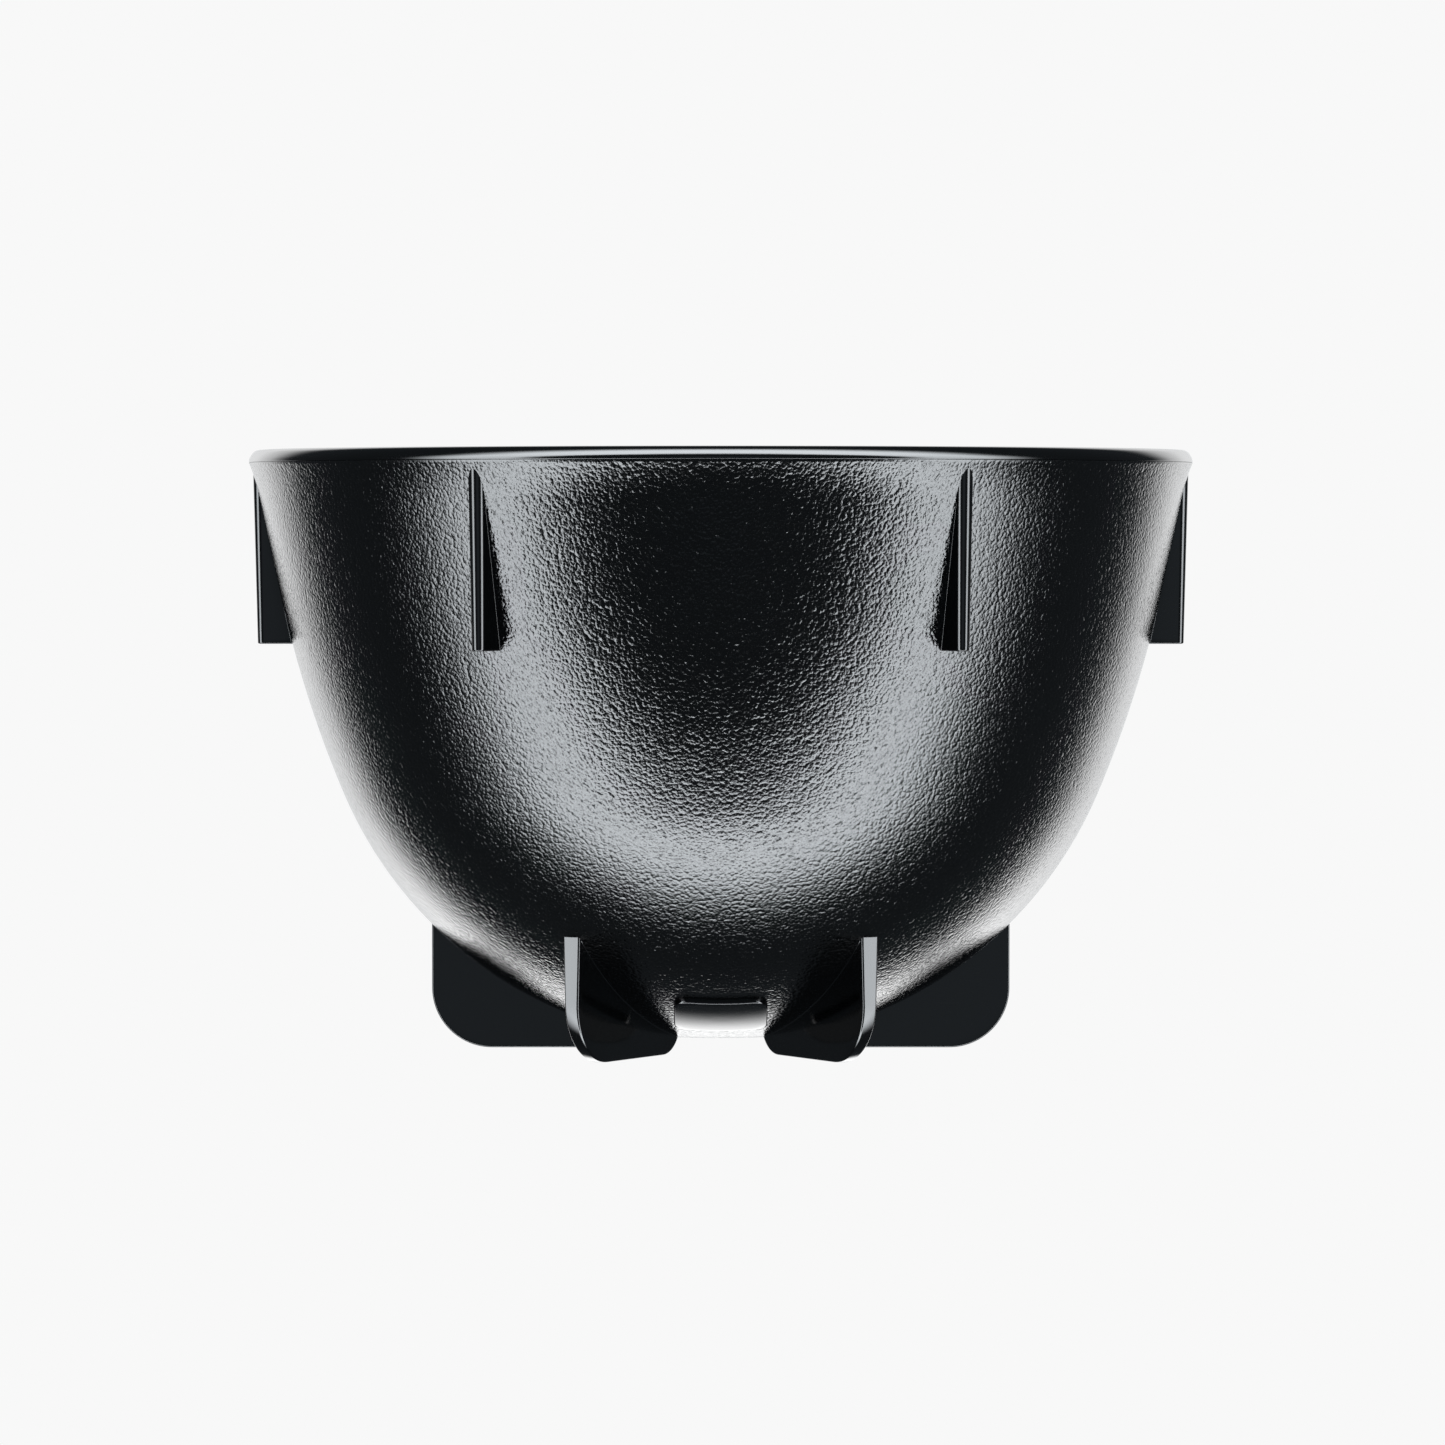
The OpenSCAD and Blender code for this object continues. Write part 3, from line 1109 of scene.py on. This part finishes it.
@dataclass
class RaisedMark:
    """A plain raised pad on the round bottom, between the two front feet."""

    form: BowlForm
    tree: bpy.types.NodeTree
    width: float = 12.6 * MM
    length: float = 10.2 * MM
    corner_r: float = 2.0 * MM
    relief: float = 0.6 * MM
    edge: float = 0.2 * MM
    root: float = 0.6 * MM
    mark_r: float = 24 * MM
    side_steps: int = 12
    field_steps: int = 8
    corner_steps: int = 8
    edge_steps: int = 6
    weld: float = 1e-7
    crease: float = 50.0

    def _outline(self, inset: float) -> list[Point]:
        """The pad's outline, moved inwards by inset: a rectangle with round corners."""
        x, y = self.width / 2 - self.corner_r, self.length / 2 - self.corner_r
        centres = ((x, y), (-x, y), (-x, -y), (x, -y))
        points: list[Point] = []
        for i, centre in enumerate(centres):
            corner = arc(centre, self.corner_r - inset, 90.0 * i, 90.0 * (i + 1),
                         self.corner_steps)
            if points:
                points += line(points[-1], corner[0], self.side_steps)[1:-1]
            points += corner
        return points + line(points[-1], points[0], self.side_steps)[1:-1]

    def _pad(self) -> bpy.types.Mesh:
        """The pad, flat: X and Y in its plane, Z its height off the round bottom."""
        rows = [[Vector((x, y, -self.root)) for x, y in self._outline(0.0)]]
        for out, climb in arc((0.0, 0.0), self.edge, 0.0, 90.0, self.edge_steps):
            height = self.relief - self.edge + climb
            rows.append([Vector((x, y, height)) for x, y in self._outline(self.edge - out)])
        rim = rows[-1]
        for i in range(1, self.field_steps):
            share = 1 - i / self.field_steps
            rows.append([Vector((p.x * share, p.y * share, p.z)) for p in rim])
        return loft("mark_pad", rows)

    def build(self, finish: bpy.types.Material) -> None:
        """Builds and settles the piece."""
        inputs = {
            "Crown Radius": self.form.crown_r,
            "Crown Centre": self.form.crown_z,
            "Tilt": math.asin(self.mark_r / self.form.crown_r),
            "Finish": finish,
        }
        piece = grow("raised_mark_pad", self._pad(), self.tree, inputs)
        close_up(piece.data, self.weld, self.crease)
        settle(piece, Slot.POLISHED, "raised_mark")


# ---------------------------------------------------------------- studio


@dataclass(frozen=True)
class StudioLight:
    """Soft light round the bowl: a wide ring of softboxes about the camera, and a pale backdrop.

    Spread is the angle between a direction and the one towards the camera, and height is the
    angle above the horizon, both in degrees.
    """

    backdrop: float = 0.939
    shade: float = 0.08
    shade_tint: tuple[float, float, float] = (0.86, 1.0, 1.13)
    spot: float = 0.2
    spot_edge: tuple[float, float] = (22.0, 10.0)
    ring: float = 9.2
    ring_tint: tuple[float, float, float] = (0.95, 1.0, 1.04)
    ring_inner: tuple[float, float] = (43.0, 54.0)
    ring_sag: float = 5.0
    ring_foot: float = 0.3
    ring_top: float = 0.6
    second_share: float = 0.15
    second_depth: float = 2.5
    ring_outer: tuple[float, float] = (84.0, 65.0)
    back: tuple[float, float] = (128.0, 144.0)
    back_top: tuple[float, float] = (48.0, 30.0)
    back_level: float = 1.85
    table_level: float = 4.0
    table_height: tuple[float, float] = (-8.0, -40.0)
    grazing: tuple[float, float] = (150.0, 172.0)

    def _ring(self, s: Sketch, axes: bpy.types.NodeOutputs, spread: Socket,
              depth: Socket) -> Socket:
        """How bright the ring of softboxes is.

        Args:
            s: the world's tree.
            axes: the direction's parts.
            spread: the direction's spread.
            depth: how many surfaces the light has met; past second_depth it is dimmed.

        Returns:
            The level.
        """
        radius = s.math("SQRT", s.total(s.product(axes["X"], axes["X"]),
                                        s.product(axes["Z"], axes["Z"])))
        below = s.math("MAXIMUM", s.math("DIVIDE", s.product(axes["Z"], -1), radius), 0.0)
        above = s.math("MAXIMUM", s.math("DIVIDE", axes["Z"], radius), 0.0)
        inner = s.math("SUBTRACT", spread, s.product(below, self.ring_sag))
        again = s.math("GREATER_THAN", depth, self.second_depth)
        gain = s.total(s.product(below, self.ring_foot), s.product(above, self.ring_top), 1.0)
        level = s.product(gain, s.blend(again, 1.0, self.second_share), self.ring)
        return s.product(s.step(inner, *self.ring_inner), s.step(spread, *self.ring_outer), level)

    def _rear(self, s: Sketch, spread: Socket, height: Socket) -> Socket:
        """How bright the backdrop and the table are."""
        table = s.blend(s.step(height, *self.table_height), self.back_level, self.table_level)
        wide = s.blend(s.step(spread, *self.grazing), table, self.backdrop)
        return s.product(s.step(spread, *self.back), s.step(height, *self.back_top), wide)

    def build(self) -> None:
        """Builds the world's shader."""
        world = bpy.data.worlds.new("studio")
        world.use_nodes = True
        bpy.context.scene.world = world
        s = Sketch(world.node_tree)
        way = s.add("ShaderNodeTexCoord").outputs["Generated"]
        axes = s.add("ShaderNodeSeparateXYZ", {0: way}).outputs
        degree = 180 / math.pi
        spread = s.product(s.math("ARCCOSINE", s.product(axes["Y"], -1)), degree)
        height = s.product(s.math("ARCSINE", axes["Z"]), degree)
        rays = s.add("ShaderNodeLightPath").outputs
        ring = self._ring(s, axes, spread, rays["Ray Depth"])
        rear = self._rear(s, spread, height)
        dim = s.total(s.product(s.step(spread, *self.spot_edge), self.spot), self.shade)
        cool, soft = s.scaled(self.shade_tint, dim), s.scaled(self.ring_tint, ring)
        plain = s.add("ShaderNodeCombineXYZ", {"X": rear, "Y": rear, "Z": rear})
        both = s.add("ShaderNodeVectorMath", {0: cool, 1: soft})
        mirrored = s.add("ShaderNodeVectorMath", {0: both.outputs[0], 1: plain.outputs[0]})
        light = s.add("ShaderNodeBackground", {"Color": mirrored.outputs[0], "Strength": 1.0})
        grey = (self.backdrop,) * 3 + (1.0,)
        behind = s.add("ShaderNodeBackground", {"Color": grey, "Strength": 1.0})
        sky = s.add("ShaderNodeMixShader", {
            0: rays["Is Camera Ray"], 1: light.outputs[0], 2: behind.outputs[0]})
        s.add("ShaderNodeOutputWorld", {"Surface": sky.outputs[0]})
        world.cycles_visibility.diffuse = False


@dataclass(frozen=True)
class FillLamp:
    """A wide soft lamp that lights the plastic's own colour and isn't mirrored in its gloss."""

    name: str
    place: tuple[float, float, float]
    size: float = 1.2
    power: float = 3.2

    def build(self) -> None:
        """Makes the lamp, aimed at the bowl."""
        data = bpy.data.lights.new(self.name, "AREA")
        data.shape = "DISK"
        data.size = self.size
        data.energy = self.power
        lamp = bpy.data.objects.new(self.name, data)
        lamp.location = self.place
        lamp.rotation_euler = Vector(self.place).to_track_quat("Z", "Y").to_euler()
        lamp.visible_camera = False
        lamp.visible_glossy = False
        bpy.context.scene.collection.objects.link(lamp)


@dataclass(frozen=True)
class Floor:
    """The plain pale floor, as bright as the backdrop, seen from above only."""

    brightness: float = 0.939
    half: float = 3.0
    drop: float = 0.2 * MM

    def build(self) -> None:
        """Builds the floor, hidden from glossy, diffuse and shadow rays."""
        h, z = self.half, -self.drop
        corners = [(-h, -h, z), (h, -h, z), (h, h, z), (-h, h, z)]
        floor = bpy.data.objects.new("floor", new_mesh("floor", corners, [], [(0, 1, 2, 3)]))
        bpy.context.scene.collection.objects.link(floor)
        material = bpy.data.materials.new("pale_floor")
        material.use_nodes = True
        s = Sketch(material.node_tree)
        glow = (self.brightness,) * 3 + (1.0,)
        lit = s.add("ShaderNodeEmission", {"Color": glow, "Strength": 1.0})
        clear = s.add("ShaderNodeBsdfTransparent")
        below = s.add("ShaderNodeNewGeometry").outputs["Backfacing"]
        face = s.add("ShaderNodeMixShader", {0: below, 1: lit.outputs[0], 2: clear.outputs[0]})
        s.add("ShaderNodeOutputMaterial", {"Surface": face.outputs[0]})
        floor.data.materials.append(material)
        floor.visible_glossy = False
        floor.visible_diffuse = False
        floor.visible_shadow = False


@dataclass(frozen=True)
class Camera:
    """The camera: level with the bowl's upper part, looking along +Y and slightly down."""

    place: tuple[float, float, float] = (0.24 * MM, -0.967, 72.9 * MM)
    pitch: float = 1.657
    lens: float = 174.4
    sensor: float = 36.0

    def build(self) -> None:
        """Makes the camera and hands it to the scene."""
        data = bpy.data.cameras.new("camera")
        data.lens = self.lens
        data.sensor_width = self.sensor
        camera = bpy.data.objects.new("camera", data)
        camera.location = self.place
        camera.rotation_euler = (math.radians(90 - self.pitch), 0.0, 0.0)
        bpy.context.scene.collection.objects.link(camera)
        bpy.context.scene.camera = camera


def main() -> None:
    """Builds the bowl round its frame, and the studio."""
    logging.basicConfig(level=logging.INFO, format="%(name)s: %(message)s")
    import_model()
    bpy.context.scene.view_settings.view_transform = "Standard"
    Camera().build()
    effects = Effects()
    grained = GrainedPlastic().build(effects)
    polished = PolishedPlastic().build(effects)
    form = BowlForm()
    revolve = revolve_tree()
    BowlWall(form, revolve).build(grained)
    RimBand(form, revolve).build(polished)
    BaseDisc(form, revolve).build(polished)
    stations = station_tree()
    StackingRibs(form, stations).build(polished)
    Feet(form, stations).build(polished)
    RaisedMark(form, wrap_tree()).build(polished)
    Floor().build()
    StudioLight().build()
    FillLamp("overhead_lamp", (0.0, -0.4, 1.6)).build()
    FillLamp("front_lamp", (0.5, -1.5, 0.5)).build()
    FillLamp("rear_lamp", (-0.6, 1.4, 0.6)).build()


if __name__ == "__main__":
    main()
